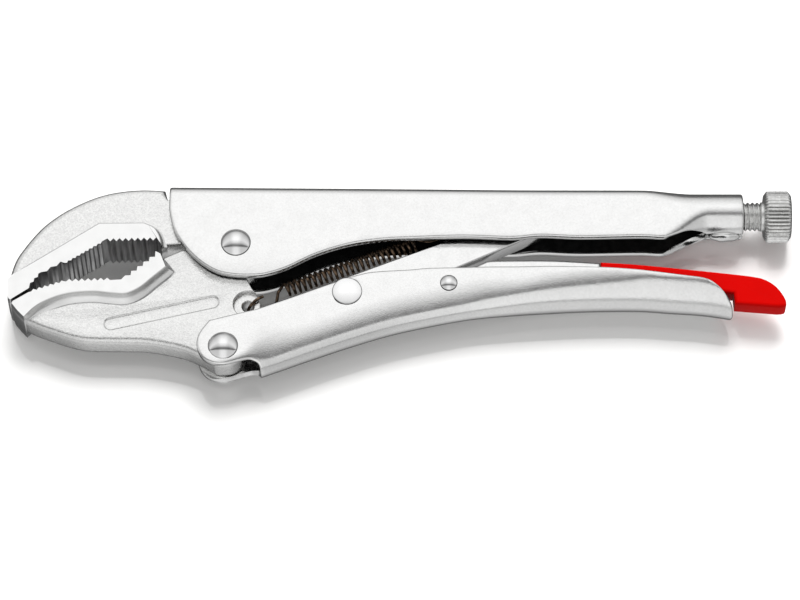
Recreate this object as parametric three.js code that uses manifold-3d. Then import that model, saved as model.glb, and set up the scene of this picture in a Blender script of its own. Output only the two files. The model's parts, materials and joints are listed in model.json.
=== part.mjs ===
// Locking pliers: two pressed steel channel handles, forged curved jaws, an over-centre toggle link,
// a release lever with a dipped grip, a tension spring and a knurled adjusting screw.
// Millimetres. Drawn with the main jaw pivot at 0, 0, 0: +X towards the knob, +Y towards the back of the
// upper handle, +Z through the thickness. The finished group stands with its box's bottom centre at 0, 0, 0.

import * as THREE from 'three';
import { mergeVertices } from 'three/addons/utils/BufferGeometryUtils.js';
import Module from 'manifold-3d';

const wasm = await Module();
wasm.setup();

// Driving dimensions.
const HALF_CHANNEL = 7.2;
const HALF_TROUGH = 6.2;
const SHEET = 2.3;
const HALF_FORGING = 4.4;
const HALF_TEETH = 7.75;
const HALF_LINK = 3.3;
const HALF_LEVER = 3.1;
const UPPER_CORNER = 4;
const MORPH_START = 130;
const MORPH_END = 146;
const FLAT_LEFT = 0.02;
const CHANNEL_DEPTH = 36;
const GAP = 0.2;
const RUNNING = 0.08;

// Pivots of the four-bar linkage and of the release lever, in the locked pose.
const JAW_PIVOT = [0, 0];
const HANDLE_PIVOT = [-3.4, -36.5];
const LINK_PIVOT = [35.6, -16.9];
const LINK_END = [103.5, 12.95];
const LEVER_PIVOT = [67.9, -13.9];
const SPRING_HOLE = [4.1, -20.5];

const HUB_RADIUS = 10.8;
const HUB_CLEARANCE = 0.4;

// Rivets: shaft radius, head radius and head height over the sheet.
const PIVOT_SHAFT = 3.2;
const PIVOT_HEAD = 4.6;
const PIVOT_DOME = 2.3;
const FLUSH_HEAD = 4.6;
const FLUSH_DOME = 0.6;
const SMALL_SHAFT = 1.8;
const SMALL_HEAD = 2.6;
const SMALL_DOME = 1.2;

// Adjusting screw: axis height, thread and knob.
const SCREW_Y = LINK_END[1];
const SCREW_RADIUS = 4.7;
const THREAD_DEPTH = 0.8;
const THREAD_PITCH = 1.5;
const SCREW_TIP = 110.2;
const BARREL_RADIUS = 7.25;
const BARREL_START = 148;
const BARREL_END = 162.6;
const KNOB_START = 169.4;
const KNOB_END = 178.1;
const KNOB_RADIUS = 8.3;
const KNOB_RIDGES = 40;
const STEM_RADIUS = 3.2;

// Tension spring.
const WIRE_RADIUS = 0.5;
const COIL_RADIUS = 2;
const COIL_PITCH = 1.8;
const COIL_TURNS = 25;
const COIL_STEPS = 8;
const COIL_START = [15.8, -13.5];
const COIL_SLOPE = THREE.MathUtils.degToRad(21.8);

const steel = { color: 0xd9d9d6, metalness: 1 };
const PLATED = new THREE.MeshStandardMaterial({ ...steel, roughness: 0.32 });
const FORGED = new THREE.MeshStandardMaterial({ ...steel, roughness: 0.5 });
const POLISHED = new THREE.MeshStandardMaterial({ ...steel, roughness: 0.12 });
const MACHINED = new THREE.MeshStandardMaterial({ color: 0xbdbdba, metalness: 1, roughness: 0.38 });
const BLACK_WIRE = new THREE.MeshStandardMaterial({ color: 0x33291f, metalness: 1, roughness: 0.4 });
const RED_DIP = new THREE.MeshStandardMaterial({ color: 0xd40508, metalness: 0, roughness: 0.3 });

const group = new THREE.Group();

function addPart(name, solid, material) {
  const cut = solid.getMesh();
  const geometry = new THREE.BufferGeometry();
  geometry.setAttribute('position', new THREE.BufferAttribute(cut.vertProperties, 3));
  geometry.setIndex(new THREE.BufferAttribute(cut.triVerts, 1));
  geometry.computeVertexNormals();
  const mesh = new THREE.Mesh(geometry, material);
  mesh.name = name;
  group.add(mesh);
}

// A closed geometry as a solid that can be joined and cut.
function solidOf(geometry) {
  const bare = geometry.clone();
  bare.deleteAttribute('normal');
  bare.deleteAttribute('uv');
  const merged = mergeVertices(bare, 1e-4);
  const triVerts = Uint32Array.from(merged.index.array);
  const vertProperties = merged.attributes.position.array;
  return new wasm.Manifold(new wasm.Mesh({ numProp: 3, vertProperties, triVerts }));
}

// A shape through points. A point is [x, y]; { curve: points } is a smooth stretch.
function outline(steps) {
  const shape = new THREE.Shape();
  steps.forEach((step, index) => {
    if (step.curve) shape.splineThru(step.curve.map(([x, y]) => new THREE.Vector2(x, y)));
    else if (index === 0) shape.moveTo(...step);
    else shape.lineTo(...step);
  });
  return shape;
}

// Points on a circle, angles in degrees.
function arc([x, y], radius, from, to, count) {
  return Array.from({ length: count + 1 }, (_, index) => {
    const angle = THREE.MathUtils.degToRad(from + ((to - from) * index) / count);
    return [x + radius * Math.cos(angle), y + radius * Math.sin(angle)];
  });
}

function plate(shape, halfThickness) {
  const options = { depth: 2 * halfThickness, bevelEnabled: false, curveSegments: 3 };
  return solidOf(new THREE.ExtrudeGeometry(shape, options).translate(0, 0, -halfThickness));
}

// A lathe-turned solid on an axis along Z at x, y. Profile points are [radius, z].
function turned([x, y], profile, segments = 40) {
  const points = profile.map(([radius, z]) => new THREE.Vector2(radius, z));
  return solidOf(new THREE.LatheGeometry(points, segments).rotateX(Math.PI / 2).translate(x, y, 0));
}

// The same on the screw's axis, along X. Profile points are [radius, x].
function turnedOnScrew(profile, segments = 40) {
  const points = profile.map(([radius, x]) => new THREE.Vector2(radius, x));
  return solidOf(new THREE.LatheGeometry(points, segments).rotateZ(-Math.PI / 2).translate(0, SCREW_Y, 0));
}

function drill(centre, radius, halfLength = 12) {
  return turned(centre, [[0, -halfLength], [radius, -halfLength], [radius, halfLength], [0, halfLength]]);
}

// Saw teeth from one point to another, their tips on the left of the way.
function teeth([x0, y0], [x1, y1], count, depth) {
  const length = Math.hypot(x1 - x0, y1 - y0);
  const side = [-(y1 - y0) / length, (x1 - x0) / length];
  const points = [];
  for (let index = 0; index < count; index++) {
    const root = index / count;
    const tip = (index + 0.5) / count;
    points.push([x0 + (x1 - x0) * root, y0 + (y1 - y0) * root]);
    points.push([
      x0 + (x1 - x0) * tip + side[0] * depth,
      y0 + (y1 - y0) * tip + side[1] * depth,
    ]);
  }
  points.push([x1, y1]);
  return points;
}

// Points round one half of a channel's section, from the middle of the web to the side, as [drop, z]. Each arc
// is [radius, lean it ends at, steps]: the outward normal leans 90 degrees on the web and 0 on the side.
// inset moves the points into the sheet.
function halfSection({ flat, arcs }, inset) {
  const normal = (lean) => [-Math.sin(THREE.MathUtils.degToRad(lean)), Math.cos(THREE.MathUtils.degToRad(lean))];
  const points = [[inset, flat]];
  let lean = 90;
  let start = [0, flat];
  for (const [radius, end, steps] of arcs) {
    const centre = start.map((value, axis) => value - radius * normal(lean)[axis]);
    const onArc = (angle, distance) => centre.map((value, axis) => value + distance * normal(angle)[axis]);
    for (let step = 1; step <= steps; step++) {
      points.push(onArc(THREE.MathUtils.lerp(lean, end, step / steps), radius - inset));
    }
    start = onArc(end, radius);
    lean = end;
  }
  return points;
}

// One section of a bent sheet channel, in y and z: a closed loop round the outside and back round the inside.
// back is the y of the outer face of the web, and way is +1 where the web is on the +Y side.
function channelSection(station, way) {
  const outside = halfSection(station, 0).reverse();
  const inside = halfSection(station, SHEET).reverse();
  const mirrored = (points) => points.map(([drop, z]) => [drop, -z]).reverse();
  const loop = [
    [CHANNEL_DEPTH, outside[0][1]],
    ...outside,
    ...mirrored(outside),
    [CHANNEL_DEPTH, -outside[0][1]],
    [CHANNEL_DEPTH, -inside[0][1]],
    ...mirrored(inside).reverse(),
    ...inside.reverse(),
    [CHANNEL_DEPTH, inside.at(-1)[1]],
  ];
  return loop.map(([drop, z]) => [station.back - way * drop, z]);
}

// A channel lofted through stations along X.
function channel(stations, way) {
  const rings = stations.map((station) => channelSection(station, way));
  const flat = rings[0].map(([y, z]) => new THREE.Vector2(y, z));
  if (THREE.ShapeUtils.isClockWise(flat)) {
    flat.reverse();
    rings.forEach((ring) => ring.reverse());
  }
  const count = rings[0].length;
  const positions = rings.flatMap((ring, index) => ring.flatMap(([y, z]) => [stations[index].x, y, z]));
  const faces = [];
  for (let ring = 0; ring + 1 < rings.length; ring++) {
    for (let point = 0; point < count; point++) {
      const next = (point + 1) % count;
      const a = ring * count + point;
      const b = ring * count + next;
      faces.push(a, b, b + count, a, b + count, a + count);
    }
  }
  const last = (rings.length - 1) * count;
  for (const [a, b, c] of THREE.ShapeUtils.triangulateShape(flat, [])) {
    faces.push(a, c, b);
    faces.push(last + a, last + b, last + c);
  }
  const geometry = new THREE.BufferGeometry();
  geometry.setAttribute('position', new THREE.Float32BufferAttribute(positions, 3));
  geometry.setIndex(faces);
  return solidOf(geometry);
}

// Values along X through a smooth curve.
function along(points, x) {
  const last = points.length - 1;
  let index = points.findIndex((point) => point[0] > x);
  index = THREE.MathUtils.clamp(index === -1 ? last : index, 1, last);
  const [a, b] = [points[index - 1], points[index]];
  const t = (x - a[0]) / (b[0] - a[0]);
  const slope = (left, right) => (right[1] - left[1]) / (right[0] - left[0]);
  const into = slope(points[Math.max(index - 2, 0)], b);
  const out = slope(a, points[Math.min(index + 1, last)]);
  const span = b[0] - a[0];
  return (
    (2 * t ** 3 - 3 * t ** 2 + 1) * a[1] +
    (t ** 3 - 2 * t ** 2 + t) * span * into +
    (3 * t ** 2 - 2 * t ** 3) * b[1] +
    (t ** 3 - t ** 2) * span * out
  );
}

function upperHandle() {
  const back = [[-26, 21.45], [20, 21.1], [60, 20.75], [90, 20.45], [129, 20.35],
    [BARREL_START, SCREW_Y + BARREL_RADIUS]];
  const xs = [-26, 20, 60, 95, MORPH_START, 133, 136, 138, 140, 143, MORPH_END, BARREL_START + 2];
  const stations = xs.map((x) => {
    const morph = THREE.MathUtils.smoothstep(x, MORPH_START, MORPH_END);
    const corner = THREE.MathUtils.lerp(UPPER_CORNER, BARREL_RADIUS - FLAT_LEFT, morph);
    return {
      x,
      back: along(back, Math.min(x, BARREL_START)),
      flat: THREE.MathUtils.lerp(HALF_CHANNEL, BARREL_RADIUS, morph) - corner,
      arcs: [[corner, 0, 6]],
    };
  });
  const side = outline([
    [-21.6, 24],
    [-21.6, 14],
    { curve: [[-21.7, 11.2], [-19.6, 4.7], [-16.4, -1.2], [-11.6, -6.5], [-6.3, -10.1], [-1.1, -11.5],
      [4.5, -11.8], [9.7, -11.3], [16.6, -8.9], [25.6, -4.2], [36.2, -0.6], [46.7, 1.1], [55.6, 1.6],
      [72.5, 2.2], [88, 1.7], [97.4, 2.5], [110, 2], [129, 2.3], [136, 2]] },
    { curve: [[139, 2.6], [144.5, 4.9], [149, 6]] },
    [152, 6],
    [152, 24],
  ]);
  const barrel = turnedOnScrew([
    [0, BARREL_START],
    [BARREL_RADIUS, BARREL_START],
    [BARREL_RADIUS, BARREL_END - 0.6],
    [BARREL_RADIUS - 0.6, BARREL_END],
    [0, BARREL_END],
  ]);
  const bore = turnedOnScrew([[0, 136], [SCREW_RADIUS + GAP, 136], [SCREW_RADIUS + GAP, 164], [0, 164]]);
  return channel(stations, 1)
    .intersect(plate(side, 10))
    .add(barrel)
    .subtract(bore)
    .subtract(drill(JAW_PIVOT, PIVOT_SHAFT + RUNNING));
}

// The toothed edge of the upper jaw, from the nose to the pivot end.
function upperToothLine() {
  return [
    [-70.9, -20.6],
    [-65.2, -16.6],
    ...teeth([-64.9, -14.8], [-62.4, -11.5], 2, -0.6),
    ...teeth([-61.6, -11], [-55.6, -7.3], 2, -0.7),
    ...teeth([-54.4, -7.7], [-42.6, 0], 9, -0.5),
    ...teeth([-41, 1], [-25.4, 1.4], 8, -1.1),
    [-23.8, -0.9],
  ];
}

function fixedJaw() {
  const nose = [[-72.1, -12.5], [-72.4, -15.6], [-72.3, -18.8], [-71.7, -20.2]];
  const body = outline([
    [-23.1, 20.6],
    { curve: [[-30, 21], [-37.8, 20.3], [-44.2, 18.7], [-50.5, 15.9], [-56.8, 12], [-63, 6.4], [-69.1, -2.3],
      [-71.2, -7.6]] },
    ...nose,
    ...upperToothLine(),
    [-22.8, 0.3],
    [-16.9, 0.9],
    ...arc(JAW_PIVOT, HUB_RADIUS + HUB_CLEARANCE, 175, 32, 16),
    [13.5, 8],
    [13.5, 17.5],
    [-21.2, 17.5],
    [-22.2, 17.1],
  ]);
  const band = outline([
    ...nose,
    ...upperToothLine(),
    { curve: [[-24.4, 2.2], [-26.2, 5.2], [-29, 6.9]] },
    [-43.8, 6.8],
  ]);
  return plate(body, HALF_FORGING).add(plate(band, HALF_TEETH));
}

// The toothed edge of the moving jaw, from the nose to the pivot end.
function lowerToothLine() {
  return [
    [-70.4, -21.1],
    [-65.4, -17.9],
    ...teeth([-64.6, -17.7], [-54, -14.1], 6, 0.7),
    ...teeth([-53.6, -14.1], [-39.6, -13.6], 7, 0.9),
    [-36.2, -13.4],
    ...[0, 1, 2, 3, 4].flatMap((step) => [
      [-35 + 1.9 * step, -12 + 1.65 * step],
      [-33.3 + 1.9 * step, -11.9 + 1.65 * step],
    ]),
    [-25.6, -3.2],
  ];
}

function movingJaw() {
  const tip = [[-66.2, -26.8], [-68.7, -24.4], [-70.6, -21.9]];
  const body = outline([
    ...tip,
    ...lowerToothLine(),
    [-23.6, -4],
    { curve: [[-22.6, -3.5], [-19.5, -2], [-16.6, -0.7], [-13, 0]] },
    ...arc(JAW_PIVOT, HUB_RADIUS, 180, -72, 30),
    { curve: [[5.3, -14.4], [6.6, -16.3], [7.4, -18.2], [7.8, -21], [7, -25], [5.2, -31], [3.8, -36],
      [2.6, -39.2], [-0.5, -41.5], [-4, -42], [-6, -41.7], [-11.3, -38.7], [-17, -36.3], [-27.6, -34.2], [-38.1, -33.9], [-48.6, -33.4], [-59.2, -30], [-65.3, -27.3]] },
  ]);
  const band = outline([
    ...tip,
    ...lowerToothLine(),
    [-23.9, -4.2],
    [-21.9, -8.8],
    { curve: [[-26, -12.5], [-30.1, -16.2], [-34.4, -18.3], [-39, -18.2], [-45.5, -17.6], [-54, -18.6],
      [-61.9, -22.1]] },
  ]);
  const thinned = (low, high) => turned(SPRING_HOLE, [[0, low], [4.6, low], [4.6, high], [0, high]]);
  return plate(body, HALF_FORGING)
    .add(plate(band, HALF_TEETH))
    .subtract(thinned(2.5, 6))
    .subtract(thinned(-6, -2.5))
    .subtract(drill(SPRING_HOLE, 1.85))
    .subtract(drill(JAW_PIVOT, PIVOT_SHAFT + RUNNING))
    .subtract(drill(HANDLE_PIVOT, PIVOT_SHAFT + RUNNING));
}

// Sizes of the lower handle's section at x: radius round the web, radius of the bend above it, half width.
const TROUGH = [
  [-16, 7.18, 7.18, HALF_CHANNEL],
  [2, 7.18, 7.18, HALF_CHANNEL],
  [10, 6.2, 4.6, 6.85],
  [20, 6.2, 4.2, HALF_TROUGH],
  [72, 6.2, 4.2, HALF_TROUGH],
  [80, 6.6, 5.2, 6.8],
  [90, 7.9, 5.8, 7.4],
  [100, 8.8, 6.7, 8.5],
  [113, 8.8, 8, 9.05],
  [125, 8.6, 9.8, 9.45],
  [132, 8.6, 11.3, 9.65],
  [162, 8.6, 11.3, 9.65],
];
const WEB_LEAN = 60;
const BEND_LEAN = 18;

// The lower handle's section at x: round the web, the bend, then a long easy arc out to the half width.
function lowerStation(x, back) {
  const size = (column) => {
    const index = Math.max(1, TROUGH.findIndex((row) => row[0] >= x));
    const [a, b] = [TROUGH[index - 1], TROUGH[index]];
    return THREE.MathUtils.mapLinear(x, a[0], b[0], a[column], b[column]);
  };
  const [web, bend] = [size(1), size(2)];
  const below = halfSection({ flat: FLAT_LEFT, arcs: [[web, WEB_LEAN, 1], [bend, BEND_LEAN, 1]] }, 0).at(-1)[1];
  const side = (size(3) - below) / (1 - Math.cos(THREE.MathUtils.degToRad(BEND_LEAN)));
  const arcs = [[web, WEB_LEAN, 2], [bend, BEND_LEAN, 3], [side, 0, 3]];
  return { x, back: along(back, x), flat: FLAT_LEFT, arcs };
}

function lowerHandle() {
  const back = [[-16, -52.6], [8.7, -43.8], [23.8, -38], [36.5, -33.3], [49.3, -29.1], [62, -26], [74.8, -23.5],
    [87.5, -22], [100.3, -21], [113, -20.4], [129, -20.3], [138.6, -21], [150, -21.9], [162, -24]];
  const xs = [-16, -7, 2, 6, 10, 15, 20, 28, 36, 44, 54, 63, 72, 80, 90, 100, 113, 125, 132, 142, 152, 162];
  const side = outline([
    [-8, -27.5],
    [6.9, -23.4],
    [20.6, -17.8],
    { curve: [[31, -13.7], [40.3, -10.5], [46.1, -9.6], [55.6, -9], [62, -8.4], [75.7, -8.2], [93.6, -8.6],
      [116, -9.5], [129, -10.7], [149.7, -13.6]] },
    { curve: [[154.2, -17.1], [157.6, -22], [158.6, -25.5]] },
    [158.6, -27],
    [8.4, -46],
    { curve: [[7.2, -42], [4.6, -41.1], [1.6, -41.8], [-3.6, -43.1], [-8.8, -41.8], [-11.6, -37.5],
      [-11.3, -32.6], [-8, -27.5]] },
  ]);
  return channel(xs.map((x) => lowerStation(x, back)), -1)
    .intersect(plate(side, 10))
    .subtract(drill(HANDLE_PIVOT, PIVOT_SHAFT + RUNNING))
    .subtract(drill(LINK_PIVOT, FLUSH_HEAD + RUNNING))
    .subtract(drill(LEVER_PIVOT, SMALL_SHAFT + RUNNING));
}

function toggleLink() {
  const angle = THREE.MathUtils.radToDeg(Math.atan2(LINK_END[1] - LINK_PIVOT[1], LINK_END[0] - LINK_PIVOT[0]));
  const shape = outline([
    ...arc(LINK_PIVOT, 6.1, angle + 90, angle + 270, 14),
    ...arc(LINK_END, 4.2, angle - 90, angle + 90, 12),
  ]);
  return plate(shape, HALF_LINK).subtract(drill(LINK_PIVOT, PIVOT_SHAFT + RUNNING));
}

// The tail of the lever, drawn once for the steel core and once, bigger all round, for its dipped coating.
function leverTail(grow) {
  return outline([
    [118.4 - grow, -5.7 + grow],
    { curve: [[129, -6.4 + grow], [149, -8.7 + grow], [163.6, -10.5 + grow], [168, -11.6 + grow],
      [171.4 + grow, -14.8], [174.6 + grow, -19.6]] },
    { curve: [[174.3 + grow, -20.4], [172, -20.2 - grow]] },
    [160.6 - grow, -18.9 - grow],
    [160.2 - grow, -16],
    [156, -15.1 - grow],
    [140, -13.2 - grow],
    [118.4 - grow, -13.2 - grow],
  ]);
}

const COAT_START = 116.6;
const COAT = 0.55;

function releaseLever() {
  const front = outline([
    [52.4, -18.2],
    [53.4, -17.2],
    [62, -13.5],
    [79.3, -4.9],
    { curve: [[82.5, -4.2], [99, -4.1], [COAT_START - GAP, -5.1]] },
    [COAT_START - GAP, -13.6],
    [92, -14.4],
    ...arc(LEVER_PIVOT, 4.4, -60, -130, 6),
    [53, -19.4],
  ]);
  const core = plate(leverTail(0), HALF_LEVER - COAT - GAP);
  const neck = plate(outline([[112, -6], [119, -6], [119, -13], [112, -13]]), HALF_LEVER - COAT - GAP);
  return plate(front, HALF_LEVER)
    .add(neck)
    .add(core)
    .subtract(drill(LEVER_PIVOT, SMALL_SHAFT + RUNNING));
}

function leverGrip() {
  const outer = plate(leverTail(COAT + GAP), HALF_LEVER + GAP);
  const front = plate(outline([[100, 0], [COAT_START, 0], [COAT_START, -20], [100, -20]]), 10);
  const hollow = plate(leverTail(GAP), HALF_LEVER - COAT);
  const mouth = plate(outline([[112, -5.8], [120, -5.8], [120, -13.2], [112, -13.2]]), HALF_LEVER - COAT);
  return outer.subtract(front).subtract(hollow).subtract(mouth);
}

// A rivet with a domed head on both sides of the sheet faces at z = +-face.
function rivet(centre, shaft, head, dome, face) {
  const cap = [
    [head * 0.45, face + dome],
    [head * 0.78, face + dome * 0.78],
    [head * 0.96, face + dome * 0.42],
    [head, face + dome * 0.12],
    [head, face],
  ];
  const upper = [[shaft, face], ...[...cap].reverse(), [0, face + dome * 1.06]];
  const lower = [...upper].reverse().map(([radius, z]) => [radius, -z]);
  return turned(centre, [...lower, ...upper], 28);
}

function adjustingScrew() {
  const profile = [[0, SCREW_TIP], [2.6, SCREW_TIP], [SCREW_RADIUS - THREAD_DEPTH, SCREW_TIP + 1.2]];
  const threadEnd = KNOB_START - 1.3;
  for (let x = SCREW_TIP + 2; x + THREAD_PITCH < threadEnd; x += THREAD_PITCH) {
    profile.push([SCREW_RADIUS - THREAD_DEPTH, x], [SCREW_RADIUS, x + THREAD_PITCH / 2]);
  }
  profile.push([SCREW_RADIUS - THREAD_DEPTH, threadEnd]);
  profile.push([STEM_RADIUS, threadEnd], [STEM_RADIUS, KNOB_END - 2], [0, KNOB_END - 2]);
  return turnedOnScrew(profile, 16);
}

function screwKnob() {
  const ridges = new THREE.Shape();
  for (let index = 0; index < KNOB_RIDGES * 4; index++) {
    const radius = index % 4 < 2 ? KNOB_RADIUS : KNOB_RADIUS - 0.5;
    const angle = (Math.PI * 2 * index) / (KNOB_RIDGES * 4);
    const point = [radius * Math.cos(angle), radius * Math.sin(angle)];
    if (index === 0) ridges.moveTo(...point);
    else ridges.lineTo(...point);
  }
  const length = KNOB_END - KNOB_START;
  const knurl = new THREE.ExtrudeGeometry(ridges, { depth: length, bevelEnabled: false, curveSegments: 1 });
  const blank = turnedOnScrew([
    [0, KNOB_START],
    [KNOB_RADIUS - 1.2, KNOB_START],
    [KNOB_RADIUS + 0.1, KNOB_START + 0.9],
    [KNOB_RADIUS + 0.1, KNOB_END - 0.9],
    [KNOB_RADIUS - 1.2, KNOB_END],
    [0, KNOB_END],
  ], 48);
  const collar = turnedOnScrew([
    [0, KNOB_START - 1.1],
    [SCREW_RADIUS, KNOB_START - 1.1],
    [SCREW_RADIUS, KNOB_START + 0.5],
    [0, KNOB_START + 0.5],
  ]);
  const bore = turnedOnScrew([
    [0, KNOB_START - 2],
    [STEM_RADIUS + RUNNING, KNOB_START - 2],
    [STEM_RADIUS + RUNNING, KNOB_END - 1.8],
    [0, KNOB_END - 1.8],
  ]);
  return solidOf(knurl.rotateY(Math.PI / 2).translate(KNOB_START, SCREW_Y, 0))
    .intersect(blank)
    .add(collar)
    .subtract(bore);
}

// The spring's wire: front hook through the jaw's hole, the coil, and a rear hook through the anchor's hole.
function springWire() {
  const points = [
    [8.8, -17.3, 3.2], [6.8, -18.7, 3.7], [4.9, -20.2, 2.4], [4.2, -20.6, 0], [4.9, -20.9, -2.6],
    [7.4, -20.2, -4], [10.6, -18.8, -3.6], [12.8, -17.2, -1.8], [13.5, -14.5, 0.2],
  ].map((point) => new THREE.Vector3(...point));
  const direction = new THREE.Vector3(Math.cos(COIL_SLOPE), Math.sin(COIL_SLOPE), 0);
  const across = new THREE.Vector3(-Math.sin(COIL_SLOPE), Math.cos(COIL_SLOPE), 0);
  const stepsPerTurn = COIL_STEPS;
  for (let step = 0; step <= COIL_TURNS * stepsPerTurn; step++) {
    const angle = (2 * Math.PI * step) / stepsPerTurn;
    points.push(
      new THREE.Vector3(COIL_START[0], COIL_START[1], 0)
        .addScaledVector(direction, (COIL_PITCH * step) / stepsPerTurn)
        .addScaledVector(across, COIL_RADIUS * Math.cos(angle))
        .add(new THREE.Vector3(0, 0, COIL_RADIUS * Math.sin(angle))),
    );
  }
  for (const point of [[61, 5, -1.6], [64, 6, -2.4], [66.6, 7.2, -1.6], [67.3, 7.9, 0], [66.4, 8.4, 1.8]]) {
    points.push(new THREE.Vector3(...point));
  }
  return new THREE.CatmullRomCurve3(points, false, 'centripetal');
}

function tensionSpring() {
  const section = outline(arc([0, 0], WIRE_RADIUS, 0, 288, 4));
  const options = { steps: (COIL_TURNS + 4) * COIL_STEPS, bevelEnabled: false, extrudePath: springWire() };
  return solidOf(new THREE.ExtrudeGeometry(section, options));
}

// A lug that hangs from the web and holds the spring's rear hook.
function springAnchor() {
  const lug = outline([[63, 17.8], [64.4, 8.6], ...arc([67.3, 7.9], 2.6, 190, 350, 8), [72, 12], [74, 17.8]]);
  return plate(lug, 1.1).subtract(drill([67.3, 7.9], 1.2));
}

// The bead that closes the seam under the barrel.
function barrelWeld() {
  const bead = new THREE.SphereGeometry(1, 24, 16).scale(4.9, 1.6, 2.3).translate(156.4, 5.6, 0);
  const barrel = turnedOnScrew([
    [0, 140], [BARREL_RADIUS + 0.05, 140], [BARREL_RADIUS + 0.05, 170], [0, 170],
  ]);
  return solidOf(bead).subtract(barrel);
}

const PROUD = 0.05;
const FACE = HALF_CHANNEL + PROUD;
const TROUGH_FACE = HALF_TROUGH + PROUD;

addPart('upper_handle', upperHandle(), PLATED);
addPart('fixed_jaw', fixedJaw(), FORGED);
addPart('moving_jaw', movingJaw(), FORGED);
addPart('lower_handle', lowerHandle(), PLATED);
addPart('toggle_link', toggleLink(), PLATED);
addPart('release_lever', releaseLever(), PLATED);
addPart('lever_grip', leverGrip(), RED_DIP);
addPart('jaw_rivet', rivet(JAW_PIVOT, PIVOT_SHAFT, PIVOT_HEAD, PIVOT_DOME, FACE), POLISHED);
addPart('handle_rivet', rivet(HANDLE_PIVOT, PIVOT_SHAFT, PIVOT_HEAD, PIVOT_DOME, FACE), POLISHED);
addPart('link_rivet', rivet(LINK_PIVOT, PIVOT_SHAFT, FLUSH_HEAD, FLUSH_DOME, TROUGH_FACE), POLISHED);
addPart('lever_rivet', rivet(LEVER_PIVOT, SMALL_SHAFT, SMALL_HEAD, SMALL_DOME, TROUGH_FACE), POLISHED);
addPart('adjusting_screw', adjustingScrew(), MACHINED);
addPart('screw_knob', screwKnob(), MACHINED);
addPart('tension_spring', tensionSpring(), BLACK_WIRE);
addPart('spring_anchor', springAnchor(), PLATED);
addPart('barrel_weld', barrelWeld(), PLATED);

const box = new THREE.Box3().setFromObject(group);
const middle = box.getCenter(new THREE.Vector3());
group.position.set(-middle.x, -middle.y, -box.min.z);

export default group;
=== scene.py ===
"""Locking pliers lying on their side on a pale studio floor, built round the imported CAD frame.

Shapes are drawn in millimetres from the main jaw pivot: x towards the knob, y towards the back of the upper
handle, z through the thickness. at() turns them into metres in the frame.
"""

import json
import math

import bmesh
import bpy
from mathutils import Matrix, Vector
from mathutils.geometry import delaunay_2d_cdt
from mathutils.kdtree import KDTree


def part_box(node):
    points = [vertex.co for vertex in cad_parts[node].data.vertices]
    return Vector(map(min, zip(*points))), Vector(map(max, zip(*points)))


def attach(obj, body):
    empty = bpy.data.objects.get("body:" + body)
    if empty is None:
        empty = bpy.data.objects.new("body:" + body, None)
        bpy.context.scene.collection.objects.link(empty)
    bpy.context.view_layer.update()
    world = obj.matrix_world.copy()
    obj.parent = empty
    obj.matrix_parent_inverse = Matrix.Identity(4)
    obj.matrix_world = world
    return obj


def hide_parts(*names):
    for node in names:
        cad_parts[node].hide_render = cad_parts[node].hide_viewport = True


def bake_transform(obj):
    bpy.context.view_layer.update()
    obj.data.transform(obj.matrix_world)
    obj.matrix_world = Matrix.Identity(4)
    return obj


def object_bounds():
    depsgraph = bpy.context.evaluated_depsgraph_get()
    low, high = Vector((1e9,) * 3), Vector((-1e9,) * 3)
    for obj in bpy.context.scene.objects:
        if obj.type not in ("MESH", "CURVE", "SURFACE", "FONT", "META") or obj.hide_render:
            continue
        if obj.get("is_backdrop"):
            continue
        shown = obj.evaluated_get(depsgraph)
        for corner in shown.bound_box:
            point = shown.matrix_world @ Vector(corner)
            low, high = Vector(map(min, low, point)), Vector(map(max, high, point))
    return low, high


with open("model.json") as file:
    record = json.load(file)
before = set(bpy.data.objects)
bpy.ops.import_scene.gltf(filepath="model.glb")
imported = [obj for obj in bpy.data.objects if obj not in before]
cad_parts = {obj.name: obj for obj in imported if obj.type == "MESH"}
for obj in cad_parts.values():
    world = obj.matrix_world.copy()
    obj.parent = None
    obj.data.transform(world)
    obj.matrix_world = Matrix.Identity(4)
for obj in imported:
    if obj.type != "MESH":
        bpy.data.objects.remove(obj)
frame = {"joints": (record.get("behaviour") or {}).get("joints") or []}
cad_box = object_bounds()

MM = 0.001
JOINTS = {joint["name"]: joint for joint in frame["joints"]}
ORIGIN = Vector(JOINTS["jaw_hinge"]["pos_m"])


def at(x, y, z):
    return ORIGIN + Vector((x, y, z)) * MM


def pivot(joint):
    place = (Vector(JOINTS[joint]["pos_m"]) - ORIGIN) / MM
    return place.x, place.y


# Driving dimensions, in millimetres.
HALF_CHANNEL = 7.2
HALF_TROUGH = 6.2
SHEET = 2.3
HALF_FORGING = 4.4
HALF_TEETH = 7.75
HALF_LINK = 3.3
HALF_LEVER = 3.1
HALF_GRIP = 3.3
UPPER_CORNER = 4.0
MORPH_START = 130.0
MORPH_END = 146.0
BARREL_RADIUS = 7.25
BARREL_START = 148.0
BARREL_END = 162.6
SCREW_RADIUS = 4.7
THREAD_DEPTH = 0.75
THREAD_PITCH = 1.5
KNOB_RADIUS = 8.3
KNOB_RIDGES = 40
KNURL_DEPTH = 0.55
WIRE_RADIUS = 0.5
COIL_RADIUS = 2.0
COIL_PITCH = 1.8
COIL_TURNS = 25
COIL_START = (15.8, -13.5)
COIL_SLOPE = math.radians(21.8)

JAW_PIVOT = pivot("jaw_hinge")
HANDLE_PIVOT = pivot("handle_hinge")
LINK_PIVOT = pivot("link_hinge")
LEVER_PIVOT = pivot("lever_hinge")
SCREW_Y = pivot("knob_turn")[1]
LINK_END = (103.5, SCREW_Y)
SPRING_HOLE = (4.1, -20.5)
SCREW_TIP = (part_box("adjusting_screw")[0].x - ORIGIN.x) / MM
KNOB_END = (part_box("screw_knob")[1].x - ORIGIN.x) / MM
KNOB_START = KNOB_END - 8.7
TINY = 1e-3


# ---------------------------------------------------------------- outlines


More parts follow.
